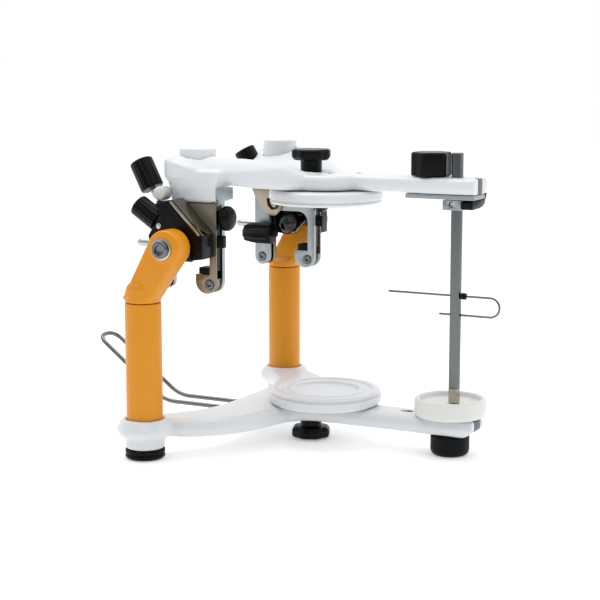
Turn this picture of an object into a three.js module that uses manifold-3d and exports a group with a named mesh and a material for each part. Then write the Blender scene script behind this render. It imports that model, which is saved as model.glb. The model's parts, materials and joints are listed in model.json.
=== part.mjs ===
// Semi-adjustable dental articulator, in millimetres.
// X runs across the instrument, +Y to the back, +Z up. The incisal pin is at the front (-Y).
// "left" and "right" are the patient's sides: left is +X, right is -X.

import * as THREE from 'three';
import { mergeVertices } from 'three/addons/utils/BufferGeometryUtils.js';
import Module from 'manifold-3d';

const wasm = await Module();
wasm.setup();

// ---------------------------------------------------------------- driving dimensions

const GAP = 0.3;                    // clearance between pieces that touch
const ORIGIN_Y = -47.6;             // middle of the footprint, measured from the column axes

// hinge axis of the jaw joint
const AXIS_Y = -18.1;
const AXIS_Z = 119.8;

// lower frame
const FRAME_BOTTOM = 11.8;
const FRAME_TOP = 22.1;
const COLUMN_X = 84.7;
const BOSS_RADIUS = 16;
const BOSS_TOP = 23.2;
const BAR_HALF = 12.2;
const BAR_FRONT = -167;
const LOWER_SLOT = { half: 5, y: -163.4, bottom: 15.4, top: 20.8 };
const FOOT_RADIUS = 11.2;
const FOOT_TOP = 5.3;
const FRONT_FOOT_Y = -150.3;

// tilt-back support rod
const SUPPORT = { half: 8.8, z: 14, bendY: 34.5, endY: 82.4, endZ: 50.4, radius: 1.3 };

// columns
const COLUMN_RADIUS = 10.25;
const COLUMN_BOTTOM = 10.4;
const COLUMN_TOP = 88.4;
const HEAD_OUTER_X = 92.4;
const HEAD_INNER_X = 79.2;
const HEAD_RADIUS = 10.4;
const AXLE_RADIUS = 3;

// mounting plates and incisal table
const PLATE_RADIUS = 33;
const PLATE_Y = -71.6;
const STUD_Y = -62;
const STUD_RADIUS = 3;
const LOWER_PLATE_BOTTOM = 22.4;
const LOWER_PLATE_TOP = 30.9;
const UPPER_PLATE_BOTTOM = 139.7;
const UPPER_PLATE_TOP = 147.9;
const TABLE_Y = -150.2;
const TABLE_RADIUS = 20.3;
const TABLE_TOP = 32.8;
const TABLE_FLOOR = 29.6;

// upper frame
const ARM_BOTTOM = 148.3;
const ARM_TOP = 157.3;
const HUB_RADIUS = 25.5;
const UPPER_BAR_HALF = 11.8;
const UPPER_BAR_FRONT = -166.1;
const UPPER_SLOT = { half: 3.3, y: -162.2, bottom: 148.5, top: 157 };
const HOUSING_X = 49.8;
const HOUSING_Y = -15.4;
const HOUSING_BOTTOM = 143.2;
const HOUSING_FRONT = -35.9;
const DRUM_RADIUS = 17.6;
const CAP_RADIUS = 10.25;
const CAP_TOP = 172.5;

// incisal pin and its clamp
const CLAMP_Y = -136.8;
const PIN_Y = -152.4;
const PIN_RADIUS = 3.25;
const PIN_FLAT = 2.5;
const PIN_BOTTOM = TABLE_FLOOR + GAP;
const PIN_TOP = 170.9;
const WIRE_UPPER_Z = 91.1;
const WIRE_LOWER_Z = 80.3;
const WIRE_RADIUS = 0.65;
const CLAMP_HALF = 8.4;
const CLAMP_PLATE_TOP = ARM_BOTTOM - GAP;
const CLAMP_PLATE_BOTTOM = CLAMP_PLATE_TOP - 2.5;

// condylar brackets
const BRACKET_INNER_X = 55.6;
const BRACKET_OUTER_X = 65.3;
const BRACKET_TOP = 142.8;
const LEG_FRONT = -36;
const LEG_BACK = -31.6;
const LUG = { front: -41.4, back: -36.2, bottom: 145.2, top: 151.8 };
const TONGUE = { inner: 57.5, outer: 63.5, back: -33.2, top: 148 };
const SCREW_FRONT = { y: -31.4, z: 97.9 };
const SCREW_REAR = { y: 0.6, z: 98.2 };
const FACEBOW_Z = 118.2;
const FACEBOW_RADIUS = 2.2;
const LATCH_TRAVEL = 4;
const LATCH_SLOT = { inner: 58.7, outer: 64.5, back: -32.6, bottom: 101, top: 139 };
const BOX_OUTER_X = HEAD_INNER_X - 0.9;
const STRIP = { from: -5.5, to: 20, low: 14.4, high: 15.9, inner: 77.6, outer: 78.6 };
const BALL_X = 58;
const BALL_RADIUS = 6.8;
const KNOB_RADIUS = 6.7;
const STOP_Y = -1.2;
const STOP_Z = 147.6;

// ---------------------------------------------------------------- geometry helpers

// A closed three.js geometry as a solid for cutting and joining.
// Slivers thinner than this, left by joins and cuts, are merged away.
const SLIVER = 0.03;

function toSolid(geometry) {
  const bare = new THREE.BufferGeometry();
  bare.setAttribute('position', geometry.getAttribute('position').clone());
  if (geometry.index) bare.setIndex(geometry.index.clone());
  const merged = mergeVertices(bare, 1e-4);
  return new wasm.Manifold(new wasm.Mesh({
    numProp: 3,
    vertProperties: new Float32Array(merged.getAttribute('position').array),
    triVerts: new Uint32Array(merged.index.array),
  }));
}

function toGeometry(solid) {
  const mesh = solid.simplify(SLIVER).getMesh();
  const geometry = new THREE.BufferGeometry();
  geometry.setAttribute('position', new THREE.BufferAttribute(new Float32Array(mesh.vertProperties), 3));
  geometry.setIndex(new THREE.BufferAttribute(new Uint32Array(mesh.triVerts), 1));
  geometry.computeVertexNormals();
  return geometry;
}

function join(...geometries) {
  return toGeometry(geometries.map(toSolid).reduce((sum, solid) => sum.add(solid)));
}

function cut(geometry, ...tools) {
  return toGeometry(tools.map(toSolid).reduce((rest, solid) => rest.subtract(solid), toSolid(geometry)));
}

// Turned solid: profile points are [radius, distance along the axis], from `base` towards `direction`.
function turned(profile, base, direction, segments = 20) {
  const points = profile.map(([radius, along]) => new THREE.Vector2(radius, along));
  const geometry = new THREE.LatheGeometry(points, segments);
  const up = new THREE.Vector3(0, 1, 0);
  const axis = new THREE.Vector3(...direction).normalize();
  geometry.applyQuaternion(new THREE.Quaternion().setFromUnitVectors(up, axis));
  return geometry.translate(...base);
}

// Round bar between two points.
function rod(radius, from, to, segments = 16) {
  const direction = to.map((value, i) => value - from[i]);
  const length = Math.hypot(...direction);
  return turned([[0, 0], [radius, 0], [radius, length], [0, length]], from, direction, segments);
}

// Cylinder with bevelled rims, `length` long from `base` towards `direction`.
function knobBody(radius, length, bevel, base, direction, segments = 20) {
  const profile = [
    [0, 0], [radius - bevel, 0], [radius, bevel],
    [radius, length - bevel], [radius - bevel, length], [0, length],
  ];
  return turned(profile, base, direction, segments);
}

function block(x0, x1, y0, y1, z0, z1) {
  const geometry = new THREE.BoxGeometry(Math.abs(x1 - x0), y1 - y0, z1 - z0);
  return geometry.translate((x0 + x1) / 2, (y0 + y1) / 2, (z0 + z1) / 2);
}

// Flat slab with rounded edges: a plan outline raised from z0 to z1.
function slab(shape, z0, z1, round = 0, steps = 2, curveSegments = 12) {
  const geometry = new THREE.ExtrudeGeometry(shape, {
    depth: z1 - z0 - 2 * round,
    bevelEnabled: round > 0,
    bevelThickness: round,
    bevelSize: round,
    bevelOffset: -round,
    bevelSegments: steps,
    curveSegments,
  });
  return geometry.translate(0, 0, z0 + round);
}

// Plate whose outline is drawn in the YZ plane, from x0 to x1.
function sidePlate(shape, x0, x1, round = 0, steps = 2, curveSegments = 10) {
  const [low, high] = [Math.min(x0, x1), Math.max(x0, x1)];
  const geometry = slab(shape, low, high, round, steps, curveSegments);
  const axes = new THREE.Matrix4().makeBasis(
    new THREE.Vector3(0, 1, 0), new THREE.Vector3(0, 0, 1), new THREE.Vector3(1, 0, 0));
  return geometry.applyMatrix4(axes);
}

// Plate whose outline is drawn in the XZ plane, from y0 to y1.
function frontPlate(shape, y0, y1) {
  return slab(shape, -y1, -y0).rotateX(Math.PI / 2);
}

// Closed solid through a row of rings with equally many points.
function loft(rings) {
  const count = rings[0].length;
  const positions = rings.flat().flatMap((p) => [p.x, p.y, p.z]);
  const index = [];
  for (let r = 0; r < rings.length - 1; r += 1) {
    for (let i = 0; i < count; i += 1) {
      const a = r * count + i;
      const b = r * count + ((i + 1) % count);
      index.push(a, b, b + count, a, b + count, a + count);
    }
  }
  for (const [ring, flip] of [[0, true], [rings.length - 1, false]]) {
    const centre = rings[ring].reduce((sum, p) => sum.add(p), new THREE.Vector3()).divideScalar(count);
    const hub = positions.length / 3;
    positions.push(centre.x, centre.y, centre.z);
    for (let i = 0; i < count; i += 1) {
      const a = ring * count + i;
      const b = ring * count + ((i + 1) % count);
      index.push(...(flip ? [hub, b, a] : [hub, a, b]));
    }
  }
  const geometry = new THREE.BufferGeometry();
  geometry.setAttribute('position', new THREE.Float32BufferAttribute(positions, 3));
  geometry.setIndex(index);
  return geometry;
}

// Points along straight runs whose corners are rounded.
function roundedPath(corners, bendRadius) {
  const points = [corners[0]];
  for (let i = 1; i < corners.length - 1; i += 1) {
    const corner = corners[i];
    const back = corners[i - 1].clone().sub(corner);
    const ahead = corners[i + 1].clone().sub(corner);
    const reach = Math.min(bendRadius, back.length() * 0.49, ahead.length() * 0.49);
    const bend = new THREE.QuadraticBezierCurve3(
      corner.clone().add(back.setLength(reach)), corner, corner.clone().add(ahead.setLength(reach)));
    points.push(...bend.getPoints(4));
  }
  points.push(corners[corners.length - 1]);
  return points;
}

// Round wire along a row of points; its section is carried round the bends without twist.
function wire(radius, points, sides = 8) {
  const tangentAt = (i) => points[Math.min(i + 1, points.length - 1)].clone()
    .sub(points[Math.max(i - 1, 0)]).normalize();
  let tangent = tangentAt(0);
  const normal = new THREE.Vector3(1, 0, 0);
  const rings = points.map((point, i) => {
    const next = tangentAt(i);
    normal.applyQuaternion(new THREE.Quaternion().setFromUnitVectors(tangent, next));
    tangent = next;
    const other = new THREE.Vector3().crossVectors(tangent, normal);
    return Array.from({ length: sides }, (_, k) => {
      const angle = (2 * Math.PI * k) / sides;
      return point.clone().addScaledVector(normal, radius * Math.cos(angle))
        .addScaledVector(other, radius * Math.sin(angle));
    });
  });
  return loft(rings);
}

// Outline with round lobes, as on a hand knob.
function lobedShape(radius, depth, lobes) {
  const points = [];
  const count = lobes * 5;
  for (let i = 0; i < count; i += 1) {
    const angle = (2 * Math.PI * i) / count;
    const r = radius - (depth * (1 - Math.cos(lobes * angle))) / 2;
    points.push(new THREE.Vector2(r * Math.cos(angle), r * Math.sin(angle)));
  }
  return new THREE.Shape(points);
}

// Plan outline that is the same on both sides of X = 0, from the points of its +X half.
function symmetricShape(half) {
  const other = half.filter((p) => p.x > 1e-6).map((p) => new THREE.Vector2(-p.x, p.y)).reverse();
  return new THREE.Shape([...half, ...other]);
}

function arcPoints(cx, cy, radius, from, to, count) {
  const curve = new THREE.EllipseCurve(cx, cy, radius, radius, from, to, to < from);
  return curve.getPoints(count);
}

function through(coordinates, count) {
  const points = coordinates.map(([x, y]) => new THREE.Vector2(x, y));
  return new THREE.SplineCurve(points).getPoints(count);
}

// ---------------------------------------------------------------- finishes

const FINISH = {
  white: { color: 0xe9eceb, roughness: 0.42, metalness: 0 },
  table: { color: 0xeeebe2, roughness: 0.5, metalness: 0 },
  orange: { color: 0xe0962c, roughness: 0.4, metalness: 0 },
  black: { color: 0x17181a, roughness: 0.38, metalness: 0 },
  rubber: { color: 0x131416, roughness: 0.75, metalness: 0 },
  steel: { color: 0x8d9596, roughness: 0.28, metalness: 1 },
  satin: { color: 0xa9b1b0, roughness: 0.45, metalness: 1 },
};

const articulator = new THREE.Group();

function add(name, geometry, finish) {
  const mesh = new THREE.Mesh(geometry, new THREE.MeshStandardMaterial(FINISH[finish]));
  mesh.name = name;
  articulator.add(mesh);
  return mesh;
}

// ---------------------------------------------------------------- lower member

function lowerFrameOutline() {
  const back = through(
    [[0, -17.5], [14.5, -17.6], [36.5, -15.8], [53.2, -8.6], [66, 2], [73.6, 11.6]], 10);
  const boss = arcPoints(COLUMN_X, 0, BOSS_RADIUS, 2.32, -1.72, 12);
  const front = through([[81, -22], [72.5, -34.5], [60.5, -44.8], [44, -53], [27, -57.2]], 8);
  const fillet = through([[20.5, -59.2], [14.8, -63.6], [BAR_HALF, -71]], 4);
  const nose = through([[BAR_HALF, -159], [10.4, -166], [7, -170.4], [0, -171.8]], 5);
  return symmetricShape([...back, ...boss, ...front, ...fillet, ...nose]);
}

function lowerFrame() {
  const bodies = [slab(lowerFrameOutline(), FRAME_BOTTOM, FRAME_TOP, 4.6, 2)];
  const holes = [rod(STUD_RADIUS + GAP, [0, STUD_Y, 5], [0, STUD_Y, 30])];
  for (const side of [-1, 1]) {
    const x = side * COLUMN_X;
    bodies.push(turned([
      [0, FOOT_TOP + GAP], [FOOT_RADIUS - 0.8, FOOT_TOP + GAP], [FOOT_RADIUS, 6.6], [FOOT_RADIUS, 12.5],
      [13.2, 13.4], [13.2, 20], [12.6, BOSS_TOP - 0.3], [12, BOSS_TOP], [0, BOSS_TOP],
    ], [x, 0, 0], [0, 0, 1], 24));
    holes.push(rod(COLUMN_RADIUS + GAP, [x, 0, COLUMN_BOTTOM - GAP], [x, 0, 30], 24));
    const legX = side * SUPPORT.half;
    holes.push(rod(SUPPORT.radius + GAP, [legX, -40, SUPPORT.z], [legX, -10, SUPPORT.z], 12));
  }
  holes.push(block(-LOWER_SLOT.half, LOWER_SLOT.half, -175, LOWER_SLOT.y, 5, 30));
  holes.push(block(-20, 20, -180, BAR_FRONT, 5, 30));
  holes.push(sidePlate(new THREE.Shape([
    new THREE.Vector2(-161.6, 5), new THREE.Vector2(-161.6, FRAME_BOTTOM),
    new THREE.Vector2(BAR_FRONT - 1, 16.6), new THREE.Vector2(BAR_FRONT - 1, 5),
  ]), -20, 20));
  return cut(join(...bodies), ...holes);
}

add('lower_frame', lowerFrame(), 'white');

for (const [side, name] of [[-1, 'right'], [1, 'left']]) {
  const x = side * COLUMN_X;
  add(`rear_foot_${name}`, turned([
    [0, 0], [FOOT_RADIUS - 1, 0], [FOOT_RADIUS, 1], [FOOT_RADIUS, 2.2], [FOOT_RADIUS - 0.5, 2.5],
    [FOOT_RADIUS - 0.5, 3.1], [FOOT_RADIUS, 3.4], [FOOT_RADIUS, FOOT_TOP], [0, FOOT_TOP],
  ], [x, 0, 0], [0, 0, 1], 24), 'rubber');
  add(`column_${name}`, knobBody(COLUMN_RADIUS, COLUMN_TOP - COLUMN_BOTTOM, 0.5,
    [x, 0, COLUMN_BOTTOM], [0, 0, 1], 24), 'orange');
}

// foot and table at the front of the bar
add('front_foot', turned([
  [0, 0], [FOOT_RADIUS - 2, 0], [FOOT_RADIUS - 0.6, 1.6], [FOOT_RADIUS - 0.1, 3], [FOOT_RADIUS - 0.1, 10.6],
  [FOOT_RADIUS - 0.8, FRAME_BOTTOM - GAP], [0, FRAME_BOTTOM - GAP],
], [0, FRONT_FOOT_Y, 0], [0, 0, 1], 24), 'rubber');

add('incisal_table', turned([
  [0, FRAME_TOP + GAP], [TABLE_RADIUS - 1.8, FRAME_TOP + GAP], [TABLE_RADIUS - 0.5, 23.1],
  [TABLE_RADIUS, 24.6],
  [TABLE_RADIUS, TABLE_TOP - 0.8], [TABLE_RADIUS - 0.8, TABLE_TOP], [TABLE_RADIUS - 2.2, TABLE_TOP],
  [TABLE_RADIUS - 3, TABLE_TOP - 0.8], [TABLE_RADIUS - 3.4, TABLE_FLOOR + 0.6],
  [TABLE_RADIUS - 4.4, TABLE_FLOOR], [0, TABLE_FLOOR],
], [0, TABLE_Y, 0], [0, 0, 1], 28), 'table');

// Black insert in the slot at the front end of a bar.
function barInsert(slot, front) {
  return block(GAP - slot.half, slot.half - GAP, front, slot.y - GAP, slot.bottom, slot.top);
}

add('lower_bar_insert', barInsert(LOWER_SLOT, BAR_FRONT + 0.5), 'black');

// A round mounting plate with a raised rim ring, a shallow groove and a central recess.
// `face` is the side that holds the cast, `seat` the side against the frame.
function mountingPlate(seat, face) {
  const up = Math.sign(face - seat);
  const height = Math.abs(face - seat);
  const profile = [
    [0, 0], [PLATE_RADIUS - 1.4, 0], [PLATE_RADIUS, 1.4], [PLATE_RADIUS, 5.4],
    [PLATE_RADIUS - 0.7, 5.9], [PLATE_RADIUS - 0.7, 6.5], [PLATE_RADIUS - 0.9, 7.6],
    [PLATE_RADIUS - 2, height], [PLATE_RADIUS - 5.5, height],
    [PLATE_RADIUS - 6.4, 7.3], [PLATE_RADIUS - 8.8, 7.3], [PLATE_RADIUS - 9.6, height - 0.4],
    [PLATE_RADIUS - 13, height - 0.4], [PLATE_RADIUS - 14.5, 6.6], [0, 6.6],
  ];
  const plate = turned(profile, [0, PLATE_Y, seat], [0, 0, up], 30);
  const hole = rod(STUD_RADIUS + GAP, [0, STUD_Y, seat - up], [0, STUD_Y, seat + up * 4.6], 16);
  return cut(plate, hole);
}

// Hand knob with a shallow lobed disc, a collar and a threaded stud through the frame.
function plateKnob(disc0, disc1, collarEnd, studEnd) {
  const up = Math.sign(studEnd - disc0);
  const disc = slab(lobedShape(11.7, 0.9, 8), 0, Math.abs(disc1 - disc0), 1.9, 2);
  disc.translate(0, STUD_Y, Math.min(disc0, disc1));
  const collar = rod(6.2, [0, STUD_Y, disc1 - up], [0, STUD_Y, collarEnd], 20);
  const stud = rod(STUD_RADIUS, [0, STUD_Y, collarEnd - up], [0, STUD_Y, studEnd], 16);
  return join(disc, collar, stud);
}

add('lower_mounting_plate', mountingPlate(LOWER_PLATE_BOTTOM, LOWER_PLATE_TOP), 'white');
add('lower_plate_knob', plateKnob(0.6, 7.2, FRAME_BOTTOM - GAP, LOWER_PLATE_BOTTOM + 4), 'black');

// tilt-back support: one steel rod bent into a U, both ends set in the back of the frame
function rearSupport() {
  const point = (x, y, z) => new THREE.Vector3(x, y, z);
  const { half, z, bendY, endY, endZ, radius } = SUPPORT;
  const corners = [
    point(-half, -30, z), point(-half, bendY, z), point(-half, endY, endZ),
    point(half, endY, endZ), point(half, bendY, z), point(half, -30, z),
  ];
  return wire(radius, roundedPath(corners, 8));
}

add('rear_support', rearSupport(), 'steel');

// ---------------------------------------------------------------- column heads and condyles

// The head leans forward from the column to the hinge axis and ends in a round eye.
function columnHead(side) {
  const x = side * COLUMN_X;
  const lean = new THREE.Vector2(AXIS_Y, AXIS_Z - COLUMN_TOP).normalize();
  const across = new THREE.Vector2(lean.y, -lean.x);
  const eye = new THREE.Vector2(AXIS_Y, AXIS_Z);
  const angle = Math.atan2(across.y, across.x);
  const shape = new THREE.Shape([
    new THREE.Vector2(COLUMN_RADIUS - 0.6, COLUMN_TOP + 2),
    ...arcPoints(eye.x, eye.y, HEAD_RADIUS, angle, angle + Math.PI, 14),
    new THREE.Vector2(0.6 - COLUMN_RADIUS, COLUMN_TOP + 2),
  ]);
  const arm = sidePlate(shape, side * HEAD_INNER_X, side * HEAD_OUTER_X, 1.8, 2);
  const stubBody = turned([
    [0, 0], [COLUMN_RADIUS, 0], [COLUMN_RADIUS, 8.4], [COLUMN_RADIUS - 0.9, 10.4],
    [COLUMN_RADIUS - 2.6, 11.3], [0, 11.3],
  ], [x, 0, COLUMN_TOP + GAP], [0, 0, 1], 24);
  const shoulder = new THREE.Shape([
    new THREE.Vector2(side * 70, 88.8), new THREE.Vector2(side * HEAD_INNER_X, 95),
    new THREE.Vector2(side * HEAD_INNER_X, 101), new THREE.Vector2(side * 70, 101),
  ]);
  const behindArm = new THREE.Shape([
    new THREE.Vector2(9.65, 90.4), new THREE.Vector2(20, 90.4),
    new THREE.Vector2(20, 125), new THREE.Vector2(-9.1, 125),
  ]);
  const stub = cut(stubBody, frontPlate(shoulder, -12, 12), sidePlate(behindArm, side * 70, side * 100));
  const ring = turned([[0, 0], [7.6, 0], [7.2, 0.9], [0, 0.9]],
    [side * (HEAD_OUTER_X - 0.1), AXIS_Y, AXIS_Z], [side, 0, 0], 24);
  const bore = rod(AXLE_RADIUS + GAP, [side * 70, AXIS_Y, AXIS_Z], [side * 100, AXIS_Y, AXIS_Z], 16);
  return cut(join(arm, stub, ring), bore);
}

// Socket-head screw that is the axle of the condyle ball.
function axleScrew(side) {
  const headBase = HEAD_OUTER_X + 0.8 + 2 * GAP + 0.7;
  const tip = BALL_X - 4;
  const shank = headBase - tip;
  const screw = turned([
    [0, 0], [AXLE_RADIUS, 0], [AXLE_RADIUS, shank], [4.9, shank],
    [4.9, shank + 1.7], [4.3, shank + 2.2], [0, shank + 2.2],
  ], [side * tip, AXIS_Y, AXIS_Z], [side, 0, 0], 16);
  const socket = turned([[0, 0], [2.9, 0], [2.9, 3], [0, 3]],
    [side * (headBase + 0.4), AXIS_Y, AXIS_Z], [side, 0, 0], 6);
  return cut(screw, socket);
}

function washer(side) {
  const base = HEAD_OUTER_X + 0.8 + GAP;
  return turned([
    [AXLE_RADIUS + GAP, 0], [6, 0], [6, 0.7], [AXLE_RADIUS + GAP, 0.7], [AXLE_RADIUS + GAP, 0],
  ], [side * base, AXIS_Y, AXIS_Z], [side, 0, 0], 20);
}

// Ball with a short neck, bored from the outside for the axle.
function condyleBall(side) {
  const profile = [[0, -BALL_RADIUS]];
  for (let i = 1; i < 8; i += 1) {
    const angle = -Math.PI / 2 + (i / 8) * 0.86 * Math.PI;
    profile.push([BALL_RADIUS * Math.cos(angle), BALL_RADIUS * Math.sin(angle)]);
  }
  profile.push([4.4, 6], [4.4, 8.4], [0, 8.4]);
  const ball = turned(profile, [side * BALL_X, AXIS_Y, AXIS_Z], [side, 0, 0], 20);
  const bore = rod(AXLE_RADIUS + GAP, [side * (BALL_X - 4 - GAP), AXIS_Y, AXIS_Z],
    [side * 80, AXIS_Y, AXIS_Z], 16);
  return cut(ball, bore);
}

// ---------------------------------------------------------------- upper frame

// Cross-section of a rear arm: a low inner edge and a high outer shoulder, which is rounded, or crisp at
// a given edge height.
function armSection({ half, bottom, crest, inner, edge }) {
  const points = [
    [-half + 2, bottom], [half - 2, bottom], [half, bottom + 2], [half, bottom + 4.6],
  ];
  const shoulderX = Math.min(8, half * 0.7);
  for (let i = 1; i <= 4; i += 1) {
    const angle = (i / 4) * (Math.PI / 2);
    const rise = (crest - bottom - 4.6) * Math.sin(angle);
    points.push([half - shoulderX * (1 - Math.cos(angle)), bottom + 4.6 + rise]);
  }
  if (edge) {
    points.splice(4, 4, [half, edge - 1], [half - 0.9, edge],
      [half * 0.72, edge + (crest - edge) * 0.55], [half * 0.48, crest]);
  }
  points.push([half * 0.1, (crest * 2 + inner) / 3]);
  points.push([-half + 4, inner - 0.4], [-half + 1.2, inner - 2], [-half, inner - 4.4], [-half, bottom + 2]);
  return points;
}

// Rear arm of the upper frame, from inside the hub to the round end over the condyle housing.
function rearArm(side) {
  const stations = [
    { at: [2, -70], half: 13, bottom: ARM_BOTTOM, crest: ARM_TOP, inner: ARM_TOP },
    { at: [14, -62.5], half: 13.5, bottom: ARM_BOTTOM, crest: ARM_TOP + 1.4, inner: ARM_TOP },
    { at: [25, -52], half: 14, bottom: ARM_BOTTOM + 0.8, crest: 164.2, inner: 159.4 },
    { at: [34, -41.5], half: 15, bottom: 150.4, crest: 166.4, inner: 160.6, edge: 160.4 },
    { at: [41.5, -30.5], half: 16.4, bottom: 152.4, crest: 167.6, inner: 161.6, edge: 160.7 },
    { at: [47, -20.5], half: 17.8, bottom: 154, crest: 168.8, inner: 162, edge: 161.4 },
    { at: [50, -13], half: 18.2, bottom: 154.4, crest: 169.4, inner: 161.6, edge: 163.2 },
    { at: [52, -5.8], half: 16, bottom: 154.6, crest: 169.2, inner: 160.8, edge: 165.4 },
    { at: [53, -0.8], half: 11.6, bottom: 154.8, crest: 167, inner: 160.2, edge: 166.8 },
    { at: [53.6, 2], half: 6.2, bottom: 155.2, crest: 166.4, inner: 160, edge: 166.6 },
  ];
  const rings = stations.map((station, i) => {
    const before = stations[Math.max(i - 1, 0)].at;
    const after = stations[Math.min(i + 1, stations.length - 1)].at;
    const along = new THREE.Vector2(after[0] - before[0], after[1] - before[1]).normalize();
    const outward = new THREE.Vector2(along.y, -along.x);
    const section = armSection(station);
    return section.map(([u, z]) => new THREE.Vector3(
      side * (station.at[0] + outward.x * u), station.at[1] + outward.y * u, z));
  });
  return loft(side > 0 ? rings.map((ring) => ring.slice().reverse()) : rings);
}

// Housing that hangs from the end of the arm: round, flaring up into the arm on its outer and rear side,
// with a flat-fronted block towards the bracket.
function housing(side) {
  const half = BRACKET_OUTER_X - HOUSING_X - GAP;
  const outer = HOUSING_X + half;
  const flare = DRUM_RADIUS - half;
  const levels = [
    { z: HOUSING_BOTTOM, grow: 0, inset: 1 }, { z: HOUSING_BOTTOM + 1, grow: 0, inset: 0 },
    { z: 147, grow: 0, inset: 0 }, { z: 152, grow: flare / 2, inset: 0 }, { z: 157, grow: flare, inset: 0 },
    { z: 160, grow: flare, inset: 0 }, { z: 160.8, grow: flare, inset: 0.8 },
  ];
  const rings = levels.map(({ z, grow, inset }) => {
    const front = HOUSING_FRONT + inset;
    const ring = [[50, front], [outer - inset - 0.8, front], [outer - inset, front + 0.8]];
    for (let i = 0; i <= 16; i += 1) {
      const angle = (i / 16) * 1.34 * Math.PI;
      const radius = half - inset + grow * THREE.MathUtils.smoothstep(2.4 - angle, 0, 0.8);
      ring.push([HOUSING_X + radius * Math.cos(angle), HOUSING_Y + radius * Math.sin(angle)]);
    }
    return ring.map(([x, y]) => new THREE.Vector3(side * x, y, z));
  });
  return loft(side > 0 ? rings : rings.map((ring) => ring.slice().reverse()));
}

function pinShape(grow = 0) {
  const radius = PIN_RADIUS + grow;
  const flat = PIN_FLAT + grow;
  const turn = Math.acos(flat / radius);
  const sideA = arcPoints(0, 0, radius, turn, Math.PI - turn, 4);
  const sideB = arcPoints(0, 0, radius, Math.PI + turn, 2 * Math.PI - turn, 4);
  return new THREE.Shape([...sideA, ...sideB]);
}

function upperFrame() {
  const bar = symmetricShape([
    new THREE.Vector2(0, -60), new THREE.Vector2(UPPER_BAR_HALF, -60),
    new THREE.Vector2(UPPER_BAR_HALF, -161), new THREE.Vector2(10.8, -166.4),
    new THREE.Vector2(8, -171), new THREE.Vector2(0, -171),
  ]);
  const hub = new THREE.Shape();
  hub.absarc(0, PLATE_Y, HUB_RADIUS, 0, 2 * Math.PI);
  const bodies = [
    slab(bar, ARM_BOTTOM, ARM_TOP, 3.4, 2),
    slab(hub, ARM_BOTTOM, ARM_TOP, 3, 2, 16),
  ];
  const holes = [
    rod(STUD_RADIUS + GAP, [0, STUD_Y, 140], [0, STUD_Y, 165]),
    slab(pinShape(GAP), 140, 165).translate(0, PIN_Y, 0),
    rod(3 + GAP, [0, CLAMP_Y, 150], [0, CLAMP_Y, 165], 16),
    block(-UPPER_SLOT.half, UPPER_SLOT.half, -175, UPPER_SLOT.y, 140, 165),
    block(-20, 20, -180, UPPER_BAR_FRONT, 140, 165),
  ];
  for (const side of [-1, 1]) {
    bodies.push(rearArm(side), housing(side));
    const x = side * HOUSING_X;
    holes.push(rod(CAP_RADIUS + GAP, [x, HOUSING_Y, 157.4], [x, HOUSING_Y, 175], 24));
    holes.push(rod(4 + GAP, [side * 60, STOP_Y, STOP_Z], [side * 75, STOP_Y, STOP_Z]));
    holes.push(block(side * (TONGUE.inner - GAP), side * (TONGUE.outer + GAP),
      LEG_FRONT - 3, TONGUE.back + GAP, HOUSING_BOTTOM - 2, TONGUE.top + GAP));
  }
  return cut(join(...bodies), ...holes);
}

add('upper_frame', upperFrame(), 'white');
add('upper_mounting_plate', mountingPlate(UPPER_PLATE_TOP, UPPER_PLATE_BOTTOM), 'white');
add('upper_plate_knob', plateKnob(170.6, 164.4, ARM_TOP + GAP, UPPER_PLATE_TOP - 4), 'black');

// clamp knob on the bar, with six lobes
const clampKnob = join(
  slab(lobedShape(11.4, 1.1, 6), ARM_TOP + GAP, 171, 1.4, 2).translate(0, CLAMP_Y, 0),
  rod(3, [0, CLAMP_Y, 151], [0, CLAMP_Y, 160], 16),
);
add('pin_clamp_knob', clampKnob, 'black');

// incisal pin with two cross holes for the pointer
const pinHole = (z) => rod(WIRE_RADIUS + GAP, [0, PIN_Y - 10, z], [0, PIN_Y + 10, z], 12);
add('incisal_pin', cut(
  slab(pinShape(), PIN_BOTTOM, PIN_TOP, 0.4, 1).translate(0, PIN_Y, 0),
  pinHole(WIRE_UPPER_Z), pinHole(WIRE_LOWER_Z),
), 'steel');

// pointer: a wire bent like a hairpin, both legs through the pin
const wireBend = (WIRE_UPPER_Z - WIRE_LOWER_Z) / 2;
add('pointer_wire', wire(WIRE_RADIUS, [
  new THREE.Vector3(0, -112, WIRE_UPPER_Z),
  ...arcPoints(-173, WIRE_UPPER_Z - wireBend, wireBend, Math.PI / 2, 1.5 * Math.PI, 8)
    .map((p) => new THREE.Vector3(0, p.x, p.y)),
  new THREE.Vector3(0, -143, WIRE_LOWER_Z),
]), 'steel');

add('pointer_collar', turned([
  [WIRE_RADIUS + GAP, 0], [1.9, 0], [1.9, 2.6], [WIRE_RADIUS + GAP, 2.6], [WIRE_RADIUS + GAP, 0],
], [0, PIN_Y - PIN_FLAT - 1.2, WIRE_UPPER_Z], [0, -1, 0], 16), 'black');

// clamp under the front of the bar: a plate, and a block with a blind screw hole in each side
const clampHole = slab(pinShape(GAP), 130, 150).translate(0, PIN_Y, 0);
const sideHole = (side) => rod(1.8, [side * (CLAMP_HALF - 3), PIN_Y, 142.9],
  [side * (CLAMP_HALF + 3), PIN_Y, 142.9], 16);
add('clamp_plate', cut(
  block(-CLAMP_HALF, CLAMP_HALF, -165.5, -124.8, CLAMP_PLATE_BOTTOM, CLAMP_PLATE_TOP), clampHole), 'satin');
add('clamp_block', cut(
  block(-CLAMP_HALF, CLAMP_HALF, -157.8, -147.1, 139.7, CLAMP_PLATE_BOTTOM - GAP),
  clampHole, sideHole(-1), sideHole(1)), 'satin');

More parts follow.
